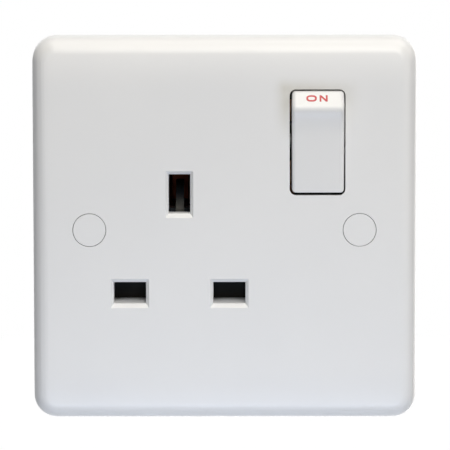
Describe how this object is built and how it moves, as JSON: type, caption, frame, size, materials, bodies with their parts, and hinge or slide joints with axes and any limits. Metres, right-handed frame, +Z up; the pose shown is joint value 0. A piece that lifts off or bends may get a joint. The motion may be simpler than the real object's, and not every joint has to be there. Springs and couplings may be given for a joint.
{
  "type": "switched wall socket",
  "caption": "Square moulded switched wall socket for a flat-pin plug: rocker switch, shuttered pin apertures, capped fixing screws, and a rear base with sprung contacts and wire terminals.",
  "frame": {"origin": "on the wall plane, midway between the two fixing screws, at the centre of the face plate", "axes": "+Y into the wall, +Z up and +X to the right as seen from the room"},
  "size_m": [0.086, 0.0299, 0.086],
  "materials": {
    "plate": "moulded white urea plastic, lightly polished",
    "rocker": "moulded white urea plastic, lightly polished",
    "base": "moulded dark brown phenolic",
    "shutter": "moulded dark grey plastic",
    "plunger": "moulded natural plastic",
    "steel": "bright zinc plated",
    "terminal_steel": "yellow zinc plated",
    "spring_steel": "drawn spring wire",
    "bronze": "rolled phosphor bronze strip",
    "copper_strip": "rolled copper alloy strip",
    "contact_silver": "silver alloy contact rivet",
    "brass": "sawn and drilled brass bar"
  },
  "bodies": {
    "housing": {"front_plate": "plate", "rear_base": "base", "screw_cap_left": "plate", "screw_cap_right": "plate", "fixing_screws": "steel", "base_screws": "steel", "fixed_contact": "copper_strip", "fixed_contact_tip": "contact_silver", "live_link": "copper_strip", "neutral_link": "copper_strip", "earth_link": "copper_strip", "live_contact": "bronze", "neutral_contact": "bronze", "earth_contact": "bronze", "live_terminal": "brass", "neutral_terminal": "brass", "earth_terminal": "brass", "terminal_screws": "terminal_steel", "shutter_spring": "spring_steel"},
    "rocker": {"rocker": "rocker", "plunger_spring": "spring_steel"},
    "plunger": {"plunger": "plunger"},
    "contact_lever": {"contact_lever": "copper_strip", "moving_contact_tip": "contact_silver"},
    "shutter": {"shutter": "shutter"}
  },
  "joints": [
    {"name": "rocker_tilt", "type": "hinge", "parent": "housing", "child": "rocker", "pos_m": [0.02085, -0.0042, 0.0196], "axis": [-1, 0, 0], "range_deg": [0, 14], "deforming": ["plunger_spring"]},
    {"name": "plunger_slide", "type": "slide", "parent": "rocker", "child": "plunger", "axis": [0, -0.9925, -0.1219], "range_m": [0, 0.0008], "stiffness_N_per_m": 800, "springref_m": -0.001, "deforming": ["plunger_spring"]},
    {"name": "lever_rock", "type": "hinge", "parent": "housing", "child": "contact_lever", "pos_m": [0.02085, 0.0073, 0.0196], "axis": [1, 0, 0], "range_deg": [0, 14]},
    {"name": "shutter_slide", "type": "slide", "parent": "housing", "child": "shutter", "axis": [0, 0, -1], "range_m": [0, 0.00617], "stiffness_N_per_m": 120, "springref_m": -0.004, "deforming": ["shutter_spring"]}
  ],
  "couplings": [
    {"joint": "lever_rock", "follows": "rocker_tilt", "ratio": 1}
  ]
}
